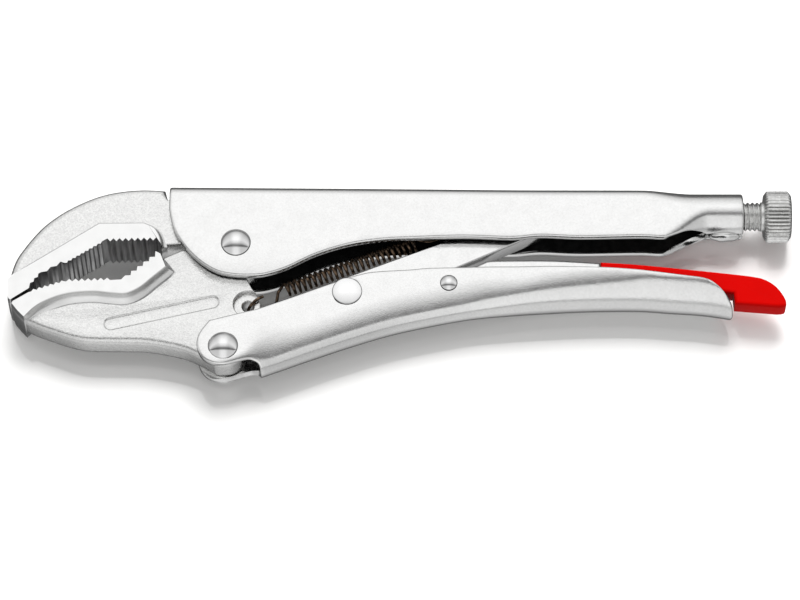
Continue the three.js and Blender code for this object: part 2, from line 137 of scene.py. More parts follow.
def smooth(points, steps=6):
    """Points on a smooth curve through the given ones."""
    padded = [points[0], *points, points[-1]]
    result = []
    for index in range(1, len(padded) - 2):
        a, b, c, d = (Vector(padded[index + k]) for k in (-1, 0, 1, 2))
        for step in range(steps):
            t = step / steps
            slope, square, cube = c - a, 2 * a - 5 * b + 4 * c - d, 3 * b - 3 * c + d - a
            result.append(tuple(0.5 * (2 * b + slope * t + square * t**2 + cube * t**3)))
    result.append(tuple(points[-1]))
    return result


def arc(centre, radius, start, end, count):
    """Points on a circle, angles in degrees."""
    angles = [math.radians(start + (end - start) * k / count) for k in range(count + 1)]
    return [(centre[0] + radius * math.cos(a), centre[1] + radius * math.sin(a)) for a in angles]


def teeth(start, end, count, depth):
    """Saw teeth from one point to another, their tips on the left of the way."""
    start, end = Vector(start), Vector(end)
    way = end - start
    side = Vector((-way.y, way.x)).normalized() * depth
    points = []
    for index in range(count):
        points.append(tuple(start + way * (index / count)))
        points.append(tuple(start + way * ((index + 0.5) / count) + side))
    return [*points, tuple(end)]


def weighted(points, weight):
    return [(x, y, weight) for x, y in points]


def faded(points, rate):
    """The points with a weight that falls to 0.1 towards the last of them."""
    last = len(points) - 1
    return [(x, y, min(1.0, 0.1 + rate * (last - k))) for k, (x, y) in enumerate(points)]


def densified(points, step, closed=False):
    """The same polyline with no stretch longer than step."""
    result = []
    ends = [*points, points[0]] if closed else points
    for a, b in zip(ends, ends[1:]):
        a, b = Vector(a), Vector(b)
        count = max(1, math.ceil((b - a).length / step))
        result += [tuple(a.lerp(b, k / count)) for k in range(count)]
    return result if closed else [*result, tuple(points[-1])]


def area(points):
    """Signed area of a closed outline, positive where it runs counterclockwise."""
    return sum(a[0] * b[1] - b[0] * a[1] for a, b in zip(points, [*points[1:], points[0]])) / 2


def inward(points):
    """Inward normals of a closed counterclockwise outline, longer at corners, so that walls stay parallel."""
    count = len(points)
    normals = []
    for index in range(count):
        before = Vector(points[index][:2]) - Vector(points[index - 1][:2])
        after = Vector(points[(index + 1) % count][:2]) - Vector(points[index][:2])
        before, after = before.normalized(), after.normalized()
        middle = Vector((-before.y - after.y, before.x + after.x))
        if middle.length < 1e-6:
            middle = Vector((-before.y, before.x))
        middle.normalize()
        along = middle.dot(Vector((-after.y, after.x)))
        normals.append(middle / max(along, 0.55))
    return normals


# ---------------------------------------------------------------- meshes


def piece(name, verts, faces, materials, body, nodes=(), indices=None, sharp=35):
    """A mesh object from points in millimetres, riding on a body and standing for CAD nodes.

    A piece given no body is attached to nothing, as the tools for carve() are.
    """
    mesh = bpy.data.meshes.new(name)
    mesh.from_pydata([at(*v) for v in verts], [], faces)
    for material in materials:
        mesh.materials.append(material)
    if indices:
        mesh.polygons.foreach_set("material_index", indices)
    form = bmesh.new()
    form.from_mesh(mesh)
    bmesh.ops.recalc_face_normals(form, faces=form.faces)
    form.to_mesh(mesh)
    form.free()
    mesh.polygons.foreach_set("use_smooth", [True] * len(mesh.polygons))
    mesh.set_sharp_from_angle(angle=math.radians(sharp))
    made = bpy.data.objects.new(name, mesh)
    bpy.context.scene.collection.objects.link(made)
    if body:
        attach(made, body)
    if nodes:
        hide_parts(*nodes)
    return made


def carve(target, *tools, sharp=35):
    """Cuts the tools out of a piece and takes them away."""
    for tool in tools:
        cut = target.modifiers.new("cut", "BOOLEAN")
        cut.operation = "DIFFERENCE"
        cut.solver = "EXACT"
        cut.object = tool
    bpy.context.view_layer.update()
    target.data = bpy.data.meshes.new_from_object(target.evaluated_get(bpy.context.evaluated_depsgraph_get()))
    target.modifiers.clear()
    target.data.set_sharp_from_angle(angle=math.radians(sharp))
    for tool in tools:
        bpy.data.objects.remove(tool)


def ring_faces(count, rings, first=0):
    """Quads between successive closed rings of the same number of points."""
    return [
        (
            first + ring * count + k,
            first + ring * count + (k + 1) % count,
            first + (ring + 1) * count + (k + 1) % count,
            first + (ring + 1) * count + k,
        )
        for ring in range(rings - 1)
        for k in range(count)
    ]


def rounded(half, radius, steps=4):
    """An edge profile from the lower face to the upper: pairs of inset and z."""
    quarter = []
    for step in range(steps + 1):
        angle = math.pi / 2 * step / steps
        quarter.append((radius * (1 - math.sin(angle)), half - radius * (1 - math.cos(angle))))
    lower = [(inset, -z) for inset, z in quarter]
    return [*lower, *reversed(quarter)]


def plate(name, outline, profile, materials, body, nodes=(), sharp=35):
    """A plate with shaped edges. outline points are x, y and optionally how far the profile acts there.

    Where that weight is 0 the wall is straight and takes the second material.
    """
    if area(outline) < 0:
        outline = outline[::-1]
    normals = inward(outline)
    weights = [point[2] if len(point) > 2 else 1 for point in outline]
    verts = []
    for inset, z in profile:
        for point, normal, weight in zip(outline, normals, weights):
            shift = inset * weight if weight else max(0.0, min(inset, 0.12))
            verts.append((point[0] + normal.x * shift, point[1] + normal.y * shift, z))
    count = len(outline)
    faces = ring_faces(count, len(profile))
    indices = [
        int(len(materials) > 1 and weights[k] == 0 and weights[(k + 1) % count] == 0)
        for _ in range(len(profile) - 1)
        for k in range(count)
    ]
    caps = [tuple(range(count))[::-1], tuple(range((len(profile) - 1) * count, len(profile) * count))]
    faces += caps
    indices += [0, 0]
    made = piece(name, verts, faces, materials, body, nodes, indices, sharp)
    for polygon in list(made.data.polygons)[-2:]:
        polygon.use_smooth = False
    return made


def turned(name, profile, centre, materials, body, nodes=(), segments=64, along_x=False, sharp=35):
    """A lathe-turned piece. profile runs from axis to axis as pairs of radius and height along the axis."""
    verts = []
    inner = [pair for pair in profile if pair[0] > 1e-6]
    for radius, height in inner:
        for k in range(segments):
            angle = 2 * math.pi * k / segments
            a, b = radius * math.cos(angle), radius * math.sin(angle)
            verts.append((height, centre[1] + a, b) if along_x else (centre[0] + a, centre[1] + b, height))
    faces = ring_faces(segments, len(inner))
    for end, ring in ((profile[0], 0), (profile[-1], len(inner) - 1)):
        tip = len(verts)
        verts.append((end[1], centre[1], 0) if along_x else (centre[0], centre[1], end[1]))
        base = ring * segments
        faces += [(base + k, base + (k + 1) % segments, tip) for k in range(segments)]
    return piece(name, verts, faces, materials, body, nodes, sharp=sharp)


# The rounded edge of a sheet, as pairs of inset and depth.
RIM = ((0.75, 0), (0.36, 0.07), (0.1, 0.3), (0, 0.7), (0, SHEET - 0.4), (0.12, SHEET - 0.1), (0.35, SHEET))
CLEARANCE = 0.7


def filled(loops, inner):
    """Triangles over the area inside the first closed loop and outside the others.

    Gives the points, the triangles, and where each of the loops' points is among the points.
    """
    flat = [point for loop in loops for point in loop]
    tree = KDTree(len(flat))
    for index, point in enumerate(flat):
        tree.insert((*point, 0), index)
    tree.balance()
    edges, start = [], 0
    for loop in loops:
        edges += [(start + k, start + (k + 1) % len(loop)) for k in range(len(loop))]
        start += len(loop)
    clear = [point for point in inner if tree.find((*point, 0))[2] > CLEARANCE]
    found = delaunay_2d_cdt([Vector(p) for p in flat + clear], edges, [], 1, 1e-5)
    points, triangles, origins = found[0], found[2], found[3]
    triangles = [t for t in triangles if not any(contains(hole, centre_of(points, t)) for hole in loops[1:])]
    position = {source: made for made, sources in enumerate(origins) for source in sources}
    return points, triangles, position


def inset_loop(loop, normals, inset):
    return [(p[0] + n.x * inset, p[1] + n.y * inset) for p, n in zip(loop, normals)]


def sheet(name, edge, place, inner, holes, materials, body, nodes, dark_from=-100):
    """A bent sheet of constant thickness. edge is its unrolled outline, place() bends a point of it.

    inner is the list of inner points, and holes are unrolled closed outlines. The inside takes materials[1],
    a painted shade for the shadow inside the channel, from dark_from on along x.
    """
    loops = [edge if area(edge) > 0 else edge[::-1]]
    loops += [hole[::-1] if area(hole) > 0 else hole for hole in holes]
    normals = [inward(loop) for loop in loops]
    top = [inset_loop(loop, normal, RIM[0][0]) for loop, normal in zip(loops, normals)]
    points, triangles, position = filled(top, inner)
    total = len(points)
    verts = [place(p.x, p.y, depth) for depth in (0, SHEET) for p in points]
    faces = [tuple(t) for t in triangles] + [tuple(total + k for k in reversed(t)) for t in triangles]
    # Inner faces beyond dark_from take materials[1], the painted shade.
    indices = [0] * len(triangles) + [int(centre_of(points, t).x > dark_from) for t in triangles]
    start = 0
    for loop, normal in zip(loops, normals):
        count = len(loop)
        rings = [[position[start + k] for k in range(count)]]
        for inset, depth in RIM[1:-1]:
            rings.append(range(len(verts), len(verts) + count))
            verts += [place(x, y, depth) for x, y in inset_loop(loop, normal, inset)]
        rings.append([total + k for k in rings[0]])
        for low, high in zip(rings, rings[1:]):
            faces += [(low[k], low[(k + 1) % count], high[(k + 1) % count], high[k]) for k in range(count)]
            indices += [0] * count
        start += count
    used = sorted({k for face in faces for k in face})
    renumber = {old: new for new, old in enumerate(used)}
    faces = [tuple(renumber[k] for k in face) for face in faces]
    return piece(name, [verts[k] for k in used], faces, materials, body, nodes, indices)


def centre_of(points, triangle):
    return sum((points[k] for k in triangle), Vector((0, 0))) / 3


def contains(loop, point):
    """Whether a closed outline goes round a point."""
    inside = False
    for a, b in zip(loop, [*loop[1:], loop[0]]):
        if (a[1] > point.y) != (b[1] > point.y):
            if point.x < a[0] + (b[0] - a[0]) * (point.y - a[1]) / (b[1] - a[1]):
                inside = not inside
    return inside


def tube(name, path, radius, sides, materials, body, nodes=()):
    """A round wire along a path of points in millimetres, its ends closed."""
    path = [Vector(point) for point in path]
    way = (path[1] - path[0]).normalized()
    side = way.orthogonal().normalized()
    verts = []
    for index, point in enumerate(path):
        ahead = (path[min(index + 1, len(path) - 1)] - path[max(index - 1, 0)]).normalized()
        side = (side - ahead * side.dot(ahead)).normalized()
        other = ahead.cross(side)
        for k in range(sides):
            angle = 2 * math.pi * k / sides
            verts.append(tuple(point + (side * math.cos(angle) + other * math.sin(angle)) * radius))
    faces = ring_faces(sides, len(path))
    last = (len(path) - 1) * sides
    faces += [tuple(range(sides))[::-1], tuple(range(last, last + sides))]
    return piece(name, verts, faces, materials, body, nodes, sharp=60)


# ---------------------------------------------------------------- materials


# Colour of the metals at grazing angles, as a share of their colour seen square on.
EDGE_TINT = 0.5


def material(name, colour, metallic, roughness):
    made = bpy.data.materials.new(name)
    made.use_nodes = True
    shader = made.node_tree.nodes["Principled BSDF"]
    shader.inputs["Base Color"].default_value = (*colour, 1)
    shader.inputs["Metallic"].default_value = metallic
    shader.inputs["Roughness"].default_value = roughness
    if metallic:
        shader.inputs["Specular Tint"].default_value = (EDGE_TINT, EDGE_TINT, EDGE_TINT, 1)
    return made, made.node_tree, shader


def noise(tree, scale, detail=3.0, stretch=(1, 1, 1)):
    """Noise in the object's own space, with scale in features per metre."""
    place = tree.nodes.new("ShaderNodeTexCoord")
    mapping = tree.nodes.new("ShaderNodeMapping")
    mapping.inputs["Scale"].default_value = stretch
    made = tree.nodes.new("ShaderNodeTexNoise")
    made.inputs["Scale"].default_value = scale
    made.inputs["Detail"].default_value = detail
    tree.links.new(place.outputs["Object"], mapping.inputs["Vector"])
    tree.links.new(mapping.outputs["Vector"], made.inputs["Vector"])
    return made.outputs["Fac"]


def ranged(tree, value, low, high, from_low=0.35, from_high=0.65):
    """A value mapped from the middle of the noise's range to low and high."""
    made = tree.nodes.new("ShaderNodeMapRange")
    made.inputs["From Min"].default_value = from_low
    made.inputs["From Max"].default_value = from_high
    made.inputs["To Min"].default_value = low
    made.inputs["To Max"].default_value = high
    tree.links.new(value, made.inputs["Value"])
    return made.outputs["Result"]


def bump(tree, shader, heights):
    """Bumps in a chain: heights are pairs of a value and its height in metres."""
    before = None
    for value, height in heights:
        made = tree.nodes.new("ShaderNodeBump")
        made.inputs["Strength"].default_value = 1
        made.inputs["Distance"].default_value = height
        tree.links.new(value, made.inputs["Height"])
        if before:
            tree.links.new(before, made.inputs["Normal"])
        before = made.outputs["Normal"]
    tree.links.new(before, shader.inputs["Normal"])


def tinted(tree, shader, value, dark, light):
    ramp = tree.nodes.new("ShaderNodeValToRGB")
    ramp.color_ramp.elements[0].position = 0.35
    ramp.color_ramp.elements[0].color = (*dark, 1)
    ramp.color_ramp.elements[1].position = 0.65
    ramp.color_ramp.elements[1].color = (*light, 1)
    tree.links.new(value, ramp.inputs["Fac"])
    tree.links.new(ramp.outputs["Color"], shader.inputs["Base Color"])


def plated_sheet():
    """Bright plating over pressed sheet: a fine orange peel and cloudy roughness."""
    made, tree, shader = material("plated_sheet", (0.8, 0.8, 0.79), 1, 0.2)
    tinted(tree, shader, noise(tree, 1500, 2), (0.78, 0.78, 0.775), (0.82, 0.82, 0.815))
    tree.links.new(ranged(tree, noise(tree, 260, 4), 0.15, 0.23), shader.inputs["Roughness"])
    bump(tree, shader, [(noise(tree, 2400, 2), 0.000026), (noise(tree, 900, 2), 0.000016)])
    return made


def forged_steel():
    """Plating over a forged skin: a fine sandy grain."""
    made, tree, shader = material("forged_steel", (0.78, 0.78, 0.77), 1, 0.24)
    tinted(tree, shader, noise(tree, 1800, 2), (0.72, 0.72, 0.715), (0.82, 0.82, 0.81))
    tree.links.new(ranged(tree, noise(tree, 500, 3), 0.2, 0.28), shader.inputs["Roughness"])
    bump(tree, shader, [(noise(tree, 2300, 2), 0.00006), (noise(tree, 800, 2), 0.00006)])
    return made


def ground_steel():
    """Ground and plated tooth bands: smooth, with faint grinding marks across them."""
    made, tree, shader = material("ground_steel", (0.81, 0.81, 0.805), 1, 0.2)
    tree.links.new(ranged(tree, noise(tree, 300, 3), 0.16, 0.24), shader.inputs["Roughness"])
    bump(tree, shader, [(noise(tree, 2500, 2, (1, 0.15, 1)), 0.000012), (noise(tree, 500, 2), 0.00002)])
    return made


def tooth_wall():
    """Broached tooth walls: dark grey with marks along the cut."""
    made, tree, shader = material("tooth_wall", (0.5, 0.5, 0.5), 1, 0.4)
    tinted(tree, shader, noise(tree, 900, 3, (1, 1, 0.08)), (0.3, 0.3, 0.3), (0.6, 0.6, 0.6))
    tree.links.new(ranged(tree, noise(tree, 700, 3, (1, 1, 0.1)), 0.3, 0.45), shader.inputs["Roughness"])
    bump(tree, shader, [(noise(tree, 1800, 3, (1, 1, 0.06)), 0.00004)])
    return made


def channel_painted_shade():
    """The inside of the channels, near-black and dull: painted shade standing in for the shadow inside them.
    """
    made, tree, shader = material("channel_painted_shade", (0.01, 0.01, 0.01), 0.5, 0.7)
    tinted(tree, shader, noise(tree, 400, 3), (0.004, 0.004, 0.004), (0.015, 0.015, 0.015))
    bump(tree, shader, [(noise(tree, 1500, 3), 0.00003)])
    return made


def polished_rivet():
    """The rivets' heads, almost a mirror."""
    made, tree, shader = material("polished_rivet", (0.86, 0.86, 0.86), 1, 0.08)
    tree.links.new(ranged(tree, noise(tree, 500, 3), 0.05, 0.13), shader.inputs["Roughness"])
    bump(tree, shader, [(noise(tree, 1200, 2), 0.000006)])
    return made


def turned_steel():
    """Turned and knurled steel with fine marks round the axis."""
    made, tree, shader = material("turned_steel", (0.7, 0.7, 0.69), 1, 0.3)
    tinted(tree, shader, noise(tree, 900, 2), (0.72, 0.72, 0.71), (0.88, 0.88, 0.87))
    tree.links.new(ranged(tree, noise(tree, 800, 3), 0.24, 0.4), shader.inputs["Roughness"])
    bump(tree, shader, [(noise(tree, 2500, 3, (1, 0.1, 0.1)), 0.000012)])
    return made


def knurl_groove_shade():
    """The bottom of the knurl's grooves, dark grey: painted shade for the shadow down in the grooves."""
    made, _, _ = material("knurl_groove_shade", (0.16, 0.16, 0.155), 0.6, 0.5)
    return made


def spring_wire():
    """Oil-blackened wire, rubbed bronze where it is bright."""
    made, tree, shader = material("spring_wire", (0.08, 0.06, 0.045), 0.9, 0.35)
    tinted(tree, shader, noise(tree, 900, 3), (0.03, 0.024, 0.02), (0.22, 0.15, 0.1))
    tree.links.new(ranged(tree, noise(tree, 1200, 3), 0.28, 0.45), shader.inputs["Roughness"])
    bump(tree, shader, [(noise(tree, 3000, 2), 0.00001)])
    return made


def red_dip():
    """Dipped plastic, a little wavy, nearly matt."""
    made, tree, shader = material("red_dip", (0.5, 0.001, 0.0005), 0, 0.35)
    shader.inputs["Specular IOR Level"].default_value = 0.03
    tinted(tree, shader, noise(tree, 60, 3), (0.48, 0.001, 0.0005), (0.52, 0.001, 0.0005))
    tree.links.new(ranged(tree, noise(tree, 400, 3), 0.3, 0.42), shader.inputs["Roughness"])
    bump(tree, shader, [(noise(tree, 250, 2), 0.00003), (noise(tree, 1800, 2), 0.000006)])
    return made


PLATED = plated_sheet()
FORGED = forged_steel()
GROUND = ground_steel()
TOOTH = tooth_wall()
PAINTED_SHADE = channel_painted_shade()
RIVET = polished_rivet()
TURNED = turned_steel()
GROOVE_SHADE = knurl_groove_shade()
WIRE = spring_wire()
RED = red_dip()


# ---------------------------------------------------------------- handles


def between(x, points):
    """A value along x, smooth through pairs of x and value."""
    x = max(points[0][0], min(points[-1][0], x))
    last = len(points) - 1
    index = next((k for k in range(1, last + 1) if points[k][0] >= x), last)
    (x0, y0), (x1, y1) = points[index - 1], points[index]
    before, after = points[max(index - 2, 0)], points[min(index + 1, last)]
    span = x1 - x0
    into = (y1 - before[1]) / (x1 - before[0])
    out = (after[1] - y0) / (after[0] - x0)
    t = (x - x0) / span
    return (
        (2 * t**3 - 3 * t**2 + 1) * y0
        + (t**3 - 2 * t**2 + t) * span * into
        + (3 * t**2 - 2 * t**3) * y1
        + (t**3 - t**2) * span * out
    )


def eased(x, start, end):
    """From 0 at the start to 1 at the end, level at both."""
    t = max(0.0, min(1.0, (x - start) / (end - start)))
    return t * t * (3 - 2 * t)


class Channel:
    """How an unrolled sheet bends into a channel. way is 1 where the web is on the +y side, or else -1.

    stretches(x) lists what follows from the middle of the web: (radius, degrees turned) for a bend and
    (0, length) for a straight one. The last goes on straight. u is the distance along that section.
    """

    def __init__(self, back, stretches, way):
        self.back, self.stretches, self.way = back, stretches, way

    def walk(self, x):
        """The stretches with their lengths, and the drop, z and lean of the normal where each starts."""
        drop, z, lean = 0.0, 0.0, math.pi / 2
        for radius, extent in [*self.stretches(x), (0, 1000)]:
            turn = math.radians(extent) if radius else 0.0
            length = radius * turn if radius else extent
            yield radius, length, drop, z, lean
            drop += radius * (math.sin(lean) - math.sin(lean - turn)) if radius else length * math.cos(lean)
            z += radius * (math.cos(lean - turn) - math.cos(lean)) if radius else length * math.sin(lean)
            lean -= turn

    def place(self, x, u, depth):
        side = 1 if u >= 0 else -1
        run = abs(u)
        for radius, length, drop, z, lean in self.walk(x):
            if run <= length:
                break
            run -= length
        turned_by = run / radius if radius else 0.0
        if radius:
            drop += radius * (math.sin(lean) - math.sin(lean - turned_by))
            z += radius * (math.cos(lean - turned_by) - math.cos(lean))
        else:
            drop += run * math.cos(lean)
            z += run * math.sin(lean)
        drop += depth * math.sin(lean - turned_by)
        z -= depth * math.cos(lean - turned_by)
        return x, self.back(x) - self.way * drop, side * z

    def unroll(self, x, y):
        """How far along the section a side view's point lies."""
        target = max(0.0, (self.back(x) - y) * self.way)
        run = 0.0
        for radius, length, drop, _, lean in self.walk(x):
            if radius:
                lowest = math.sin(lean - length / radius)
                here = math.sin(lean) - (target - drop) / radius
                if here >= lowest:
                    return run + radius * (lean - math.asin(here))
            elif (target - drop) <= length * math.cos(lean):
                return run + (target - drop) / max(math.cos(lean), 1e-6)
            run += length
        return run

    def outline(self, side):
        """The unrolled outline from a side view that runs from the web's one end to its other."""
        upper = [(x, self.unroll(x, y)) for x, y in densified(side, 0.9)]
        lower = [(x, -u) for x, u in reversed(upper)]
        return densified([*upper, *lower], 0.9, closed=True)


def lattice(start, end, step, fine, reach):
    """Inner points of a sheet: rows close together as far as fine from the middle, and wider apart beyond."""
    rows = [0.55 * k for k in range(1, int(fine / 0.55))]
    rows += [fine + 2.2 * k for k in range(int((reach - fine) / 2.2))]
    columns = [start + step * k for k in range(int((end - start) / step) + 1)]
    return [(x, side * u) for x in columns for u in rows for side in (1, -1)] + [(x, 0) for x in columns]


# Length of the upper handle's straight side along x, before it curls in and closes as the barrel.
SIDE_LENGTH = ((130, 34), (134, 20), (138, 11), (141, 7.4), (145, 3.2), (148, 1.1), (151, 0), (163, 0))


def upper_section(x):
    """The upper handle's section: half the web, a round corner, the side, and the barrel's lower quarter."""
    morph = eased(x, MORPH_START, MORPH_END)
    corner = UPPER_CORNER + (BARREL_RADIUS - UPPER_CORNER) * morph
    half = HALF_CHANNEL + (BARREL_RADIUS - HALF_CHANNEL) * morph
    return [(0, half - corner + TINY), (corner, 90), (0, max(TINY, between(x, SIDE_LENGTH))), (half, 87)]


def upper_handle():
    back = [(-26, 21.45), (20, 21.1), (60, 20.75), (90, 20.45), (129, 20.35),
            (BARREL_START, SCREW_Y + BARREL_RADIUS)]
    form = Channel(lambda x: between(x, back), upper_section, 1)
    front = smooth(
        [(-21.6, 14), (-21.4, 11.2), (-19.8, 4.7), (-16.4, -1.2), (-11.6, -6.5), (-6.3, -10.1), (-1.1, -11.5),
         (4.5, -11.8), (9.7, -11.3), (16.6, -8.9), (25.6, -4.2), (36.2, -0.6), (46.7, 1.1), (55.6, 1.6),
         (72.5, 2.2), (88, 1.7), (97.4, 2.5), (110, 2), (129, 2.3), (136, 2), (139, 2.6), (144.5, 4.9),
         (148, 5.6), (151.5, 5.8), (156, 5.8), (BARREL_END, 5.8)]
    )
    side = [(-21.6, 21.4), *front]
    edge = form.outline(side)
    inner = lattice(-20, BARREL_END - 0.5, 1.8, 23, 34)
    hole = arc((JAW_PIVOT[0], 0), 3.28, 0, 345, 23)
    holes = [[(x, way * (form.unroll(0, JAW_PIVOT[1]) + y)) for x, y in hole] for way in (1, -1)]
    # The inside takes the painted shade all along.
    sheet("upper_handle_channel", edge, form.place, inner, holes, [PLATED, PAINTED_SHADE], "frame",
          ["upper_handle"])


# Sizes of the lower handle's section along x: radius round the web, radius of the bend above it, half width.
TROUGH = (
    (-16, 7.19, 7.19, HALF_CHANNEL),
    (2, 7.19, 7.19, HALF_CHANNEL),
    (10, 6.2, 4.4, 6.7),
    (20, 6.2, 4.2, HALF_TROUGH),
    (46, 6.2, 4.2, HALF_TROUGH),
    (72, 6.2, 4.2, HALF_TROUGH + 0.05),
    (80, 6.6, 5.2, 6.8),
    (90, 7.9, 5.8, 7.4),
    (100, 8.8, 6.7, 8.4),
    (113, 8.8, 8, 9.05),
    (125, 8.6, 9.8, 9.45),
    (132, 8.6, 11.3, 9.65),
    (162, 8.6, 11.3, 9.65),
)
WEB_TURN = 30
BEND_TURN = 42
SIDE_TURN = 18


def trough(x):
    """The lower handle's section: round the web, a tighter bend, and a long easy arc up to the side."""
    web, bend, half = (between(x, [(row[0], row[column]) for row in TROUGH]) for column in (1, 2, 3))
    lean = math.radians(90 - WEB_TURN)
    below = web * math.cos(lean) + bend * (math.cos(math.radians(SIDE_TURN)) - math.cos(lean))
    side = max(0.5, (half - below) / (1 - math.cos(math.radians(SIDE_TURN))))
    return [(web, WEB_TURN), (bend, BEND_TURN), (side, SIDE_TURN)]


def lower_handle():
    back = [(-16, -52.6), (8.7, -43.8), (23.8, -38), (36.5, -33.3), (49.3, -29.1), (62, -26), (74.8, -23.5),
            (87.5, -22), (100.3, -21), (113, -20.4), (129, -20.3), (138.6, -21), (150, -21.9), (162, -24)]
    form = Channel(lambda x: between(x, back), trough, -1)
    rear = smooth([(8.35, -43.8), (8.1, -42.6), (7.3, -41.6), (5.4, -41), (3.4, -41.3), (1, -42),
                   (-3.6, -43.1), (-8.8, -41.6), (-11.5, -37.5), (-11.3, -32.6), (-8, -27.5)])
    top = smooth([(6.9, -23.4), (20.6, -17.8), (31, -13.7), (40.3, -10.5), (46.1, -9.6), (55.6, -9),
                  (62, -8.4), (75.7, -8.2), (93.6, -8.6), (116, -9.5), (129, -10.7), (143, -12.7),
                  (149.7, -13.9), (154.2, -17), (157.2, -21), (158.3, -23.4)])
    edge = form.outline([*rear, *top])
    hole = arc((LINK_PIVOT[0], 0), 3.6, 0, 350, 35)
    centre = form.unroll(*LINK_PIVOT)
    holes = [[(x, way * (centre + y)) for x, y in hole] for way in (1, -1)]
    # The inside takes the painted shade from x = 11 on; the ears in front stay plated.
    sheet("lower_handle_channel", edge, form.place, lattice(-15, 157, 1.8, 14, 26), holes, [PLATED, PAINTED_SHADE],
          "grip", ["lower_handle"], dark_from=11)


# ---------------------------------------------------------------- jaws


def forged_edge(half):
    return [(1.9, -half), (1.1, -half + 0.12), (0.45, -half + 0.5), (0.1, -half + 1.2), (0, -half + 2.1),
            (0, half - 2.1), (0.1, half - 1.2), (0.45, half - 0.5), (1.1, half - 0.12), (1.9, half)]


def band_edge(draft):
    """The raised tooth band's edge: a small rounding, a drafted wall and a fillet down to the forging."""
    upper = [(-draft - 1.5, HALF_FORGING - 0.1), (-draft - 0.9, HALF_FORGING + 0.08),
             (-draft - 0.4, HALF_FORGING + 0.35), (-draft * 0.85, HALF_FORGING + 0.9),
             (-0.05, HALF_TEETH - 0.45), (0.05, HALF_TEETH - 0.15), (0.28, HALF_TEETH)]
    return [*[(inset, -z) for inset, z in reversed(upper)], *upper]


def upper_tooth_line():
    return [
        (-70.9, -20.6),
        (-65.2, -16.6),
        *teeth((-64.9, -14.8), (-62.4, -11.5), 2, -0.6),
        *teeth((-61.6, -11), (-55.6, -7.3), 2, -0.7),
        *teeth((-54.4, -7.7), (-42.6, 0), 9, -0.5),
        *teeth((-41, 1), (-25.4, 1.4), 8, -1.1),
        (-23.8, -0.9),
    ]


def lower_tooth_line():
    stairs = []
    for step in range(5):
        x, y = -35 + 1.9 * step, -12 + 1.65 * step
        stairs += [(x, y), (x + 1.7, y + 0.1)]
    return [
        (-70.4, -21.1),
        (-65.4, -17.9),
        *teeth((-64.6, -17.7), (-54, -14.1), 6, 0.7),
        *teeth((-53.6, -14.1), (-39.6, -13.6), 7, 0.9),
        (-36.2, -13.4),
        *stairs,
        (-25.6, -3.2),
    ]


def fixed_jaw():
    back = smooth([(-23.1, 20.6), (-30, 21), (-37.8, 20.3), (-44.2, 18.7), (-50.5, 15.9), (-56.8, 12),
                   (-63, 6.4), (-69.1, -2.3), (-71.2, -7.6), (-72.1, -12.5)])
    nose = smooth([(-72.1, -12.5), (-72.2, -15.6), (-72.1, -18.8), (-71.6, -20.2), (-70.9, -20.6)], 4)
    hub = arc(JAW_PIVOT, 11.2, 175, 32, 24)
    under = [(-66, -15), (-60, -8.6), (-54, -5.6), (-43, 2), (-26, 3), (-22.8, 0.3), (-16.9, 0.9)]
    tang = [(13.5, 8), (13.5, 17.5), (-21.2, 17.5), (-22.2, 17.0)]
    body = [*weighted(back, 1), (-71.2, -17, 0.3), *weighted(under, 0.3), *weighted([*hub, *tang], 0.2)]
    plate("fixed_jaw_forging", body, forged_edge(HALF_FORGING), [FORGED], "frame",
          ["fixed_jaw"])
    upper = smooth([(-23.8, -0.9), (-24.4, 2.2), (-26.2, 5.2), (-29.5, 6.9)])
    ridge = densified([(-29.5, 6.9), (-43.8, 6.8), (-72.1, -12.5)], 2)
    band = [*weighted(nose[1:-1], 0.08), *weighted(upper_tooth_line(), 0), *weighted(upper[1:-1], 1),
            *faded(ridge, 0.2)[:-1]]
    plate("fixed_jaw_teeth", band, band_edge(0.3), [GROUND, TOOTH], "frame")


def moving_jaw():
    tip = [(-66.2, -26.8), (-68.7, -24.4), (-70.6, -21.9)]
    neck = smooth([(-23.6, -4), (-22.6, -3.5), (-19.5, -2), (-16.6, -0.7), (-13, 0), (-10.8, 0)])
    hub = arc(JAW_PIVOT, 10.8, 180, -72, 48)
    tab = smooth([(3.4, -10.4), (5.3, -14.4), (6.6, -16.3), (7.4, -18.2), (7.8, -21), (7, -25), (5.2, -31),
                  (3.8, -36), (2.6, -39.2), (-0.5, -41.5), (-4, -42), (-6, -41.7)])
    below = smooth([(-6, -41.7), (-11.3, -38.7), (-17, -36.3), (-27.6, -34.2), (-38.1, -33.9), (-48.6, -33.4),
                    (-59.2, -30), (-65.6, -27.2), (-67.4, -25.6)])
    under = [(-70.2, -22.4), (-65, -19), (-54, -15.4), (-40, -15), (-36, -14.6), (-27, -6)]
    body = [*weighted(under, 0.3), *weighted(neck, 0.5), *weighted(hub[1:-1], 0.2), *weighted(tab, 0.35),
            *weighted(below[1:], 1)]
    forging = plate("moving_jaw_forging", body, forged_edge(HALF_FORGING), [FORGED], "jaw",
                    ["moving_jaw"])
    carve(forging, spring_hole_tool(), panel_tool(1), panel_tool(-1))
    foot = smooth([(-21.9, -8.8), (-26, -12.5), (-30.1, -16.2), (-34.4, -18.3), (-39, -18.2), (-45.5, -17.6),
                   (-54, -18.6), (-61.9, -22.1), (-66.6, -26.6)])
    band = [*weighted(tip[1:], 0.1), *weighted(lower_tooth_line(), 0), (-23.9, -4.2, 0.2), *faded(foot, 0.09)]
    plate("moving_jaw_teeth", band, band_edge(1.4), [GROUND, TOOTH], "jaw")


def spring_hole_tool():
    """The hole for the spring's hook, in a disc thinned from both sides."""
    half = [(1.85, 2.2), (2.15, 2.5), (4.35, 2.5), (4.6, 2.8), (4.6, 4.1), (5.0, 4.6), (5.0, 6), (0, 6)]
    profile = [*[(radius, -z) for radius, z in reversed(half)], *half]
    return turned("spring_hole_tool", profile, SPRING_HOLE, [FORGED], None)


